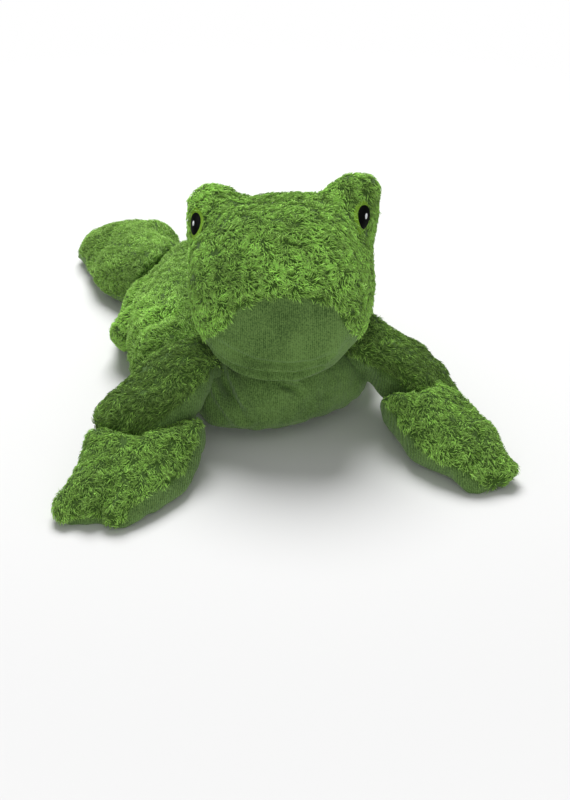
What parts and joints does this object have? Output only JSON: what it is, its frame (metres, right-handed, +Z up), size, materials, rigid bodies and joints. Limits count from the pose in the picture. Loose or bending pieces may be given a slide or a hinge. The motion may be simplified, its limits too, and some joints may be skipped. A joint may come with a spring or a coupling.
{
  "type": "plush frog",
  "caption": "Slack stuffed frog lying on its belly, with a broad head, bulging eyes, a smooth velour throat and belly, and long curly pile on top.",
  "frame": {"origin": "on the table under the middle of the bounding box", "axes": "+Z up; the frog faces -Y and its left side is +X"},
  "size_m": [0.2202, 0.3258, 0.1145],
  "materials": {
    "pile": "curly long-pile plush, matt",
    "velour": "short-pile knitted velour, matt",
    "stuffing": "fibre filling, hidden",
    "iris_thread": "satin stitch",
    "pupil_thread": "glossy satin stitch",
    "glint_thread": "satin stitch"
  },
  "bodies": {
    "torso": {"torso_back_panel": "pile", "torso_belly_panel": "velour", "torso_filling": "stuffing"},
    "head": {"head_pile_cover": "pile", "head_throat_panel": "velour", "head_filling": "stuffing", "right_eye_iris": "iris_thread", "right_eye_pupil": "pupil_thread", "right_eye_glint": "glint_thread", "left_eye_iris": "iris_thread", "left_eye_pupil": "pupil_thread", "left_eye_glint": "glint_thread"},
    "right_arm": {"right_upper_arm_top_panel": "pile", "right_upper_arm_under_panel": "velour", "right_upper_arm_filling": "stuffing"},
    "right_paw": {"right_paw_top_panel": "pile", "right_paw_under_panel": "velour", "right_paw_filling": "stuffing"},
    "right_thigh": {"right_thigh_top_panel": "pile", "right_thigh_under_panel": "velour", "right_thigh_filling": "stuffing"},
    "right_foot": {"right_foot_top_panel": "pile", "right_foot_under_panel": "velour", "right_foot_filling": "stuffing"},
    "left_arm": {"left_upper_arm_top_panel": "pile", "left_upper_arm_under_panel": "velour", "left_upper_arm_filling": "stuffing"},
    "left_paw": {"left_paw_top_panel": "pile", "left_paw_under_panel": "velour", "left_paw_filling": "stuffing"},
    "left_thigh": {"left_thigh_top_panel": "pile", "left_thigh_under_panel": "velour", "left_thigh_filling": "stuffing"},
    "left_foot": {"left_foot_top_panel": "pile", "left_foot_under_panel": "velour", "left_foot_filling": "stuffing"}
  },
  "joints": [
    {"name": "neck", "type": "hinge", "parent": "torso", "child": "head", "pos_m": [0.008, -0.00302, 0.054], "axis": [-1, 0, 0], "range_deg": [0, 20]},
    {"name": "right_shoulder", "type": "hinge", "parent": "torso", "child": "right_arm", "pos_m": [-0.03628, -0.07287, 0.03188], "axis": [0, 0, -1], "range_deg": [-12, 24]},
    {"name": "right_elbow", "type": "hinge", "parent": "right_arm", "child": "right_paw", "pos_m": [-0.06207, -0.09772, 0.01368], "axis": [-0.866, 0.5, 0], "range_deg": [-5, 45]},
    {"name": "right_hip", "type": "hinge", "parent": "torso", "child": "right_thigh", "pos_m": [-0.03381, 0.02894, 0.02077], "axis": [0, 1, 0], "range_deg": [-4, 12]},
    {"name": "right_knee", "type": "hinge", "parent": "right_thigh", "child": "right_foot", "pos_m": [-0.03621, 0.02661, 0.018], "axis": [0.9032, 0.1502, 0.4021], "range_deg": [0, 35]},
    {"name": "left_shoulder", "type": "hinge", "parent": "torso", "child": "left_arm", "pos_m": [0.04921, -0.0657, 0.03188], "axis": [0, 0, 1], "range_deg": [-12, 24]},
    {"name": "left_elbow", "type": "hinge", "parent": "left_arm", "child": "left_paw", "pos_m": [0.0761, -0.09374, 0.01648], "axis": [-0.9563, -0.2924, 0], "range_deg": [-5, 45]},
    {"name": "left_hip", "type": "hinge", "parent": "torso", "child": "left_thigh", "pos_m": [0.02462, 0.03611, 0.02077], "axis": [0, -1, 0], "range_deg": [-4, 12]},
    {"name": "left_knee", "type": "hinge", "parent": "left_thigh", "child": "left_foot", "pos_m": [0.02752, 0.03444, 0.018], "axis": [0.9129, -0.039, -0.4064], "range_deg": [0, 35]}
  ]
}
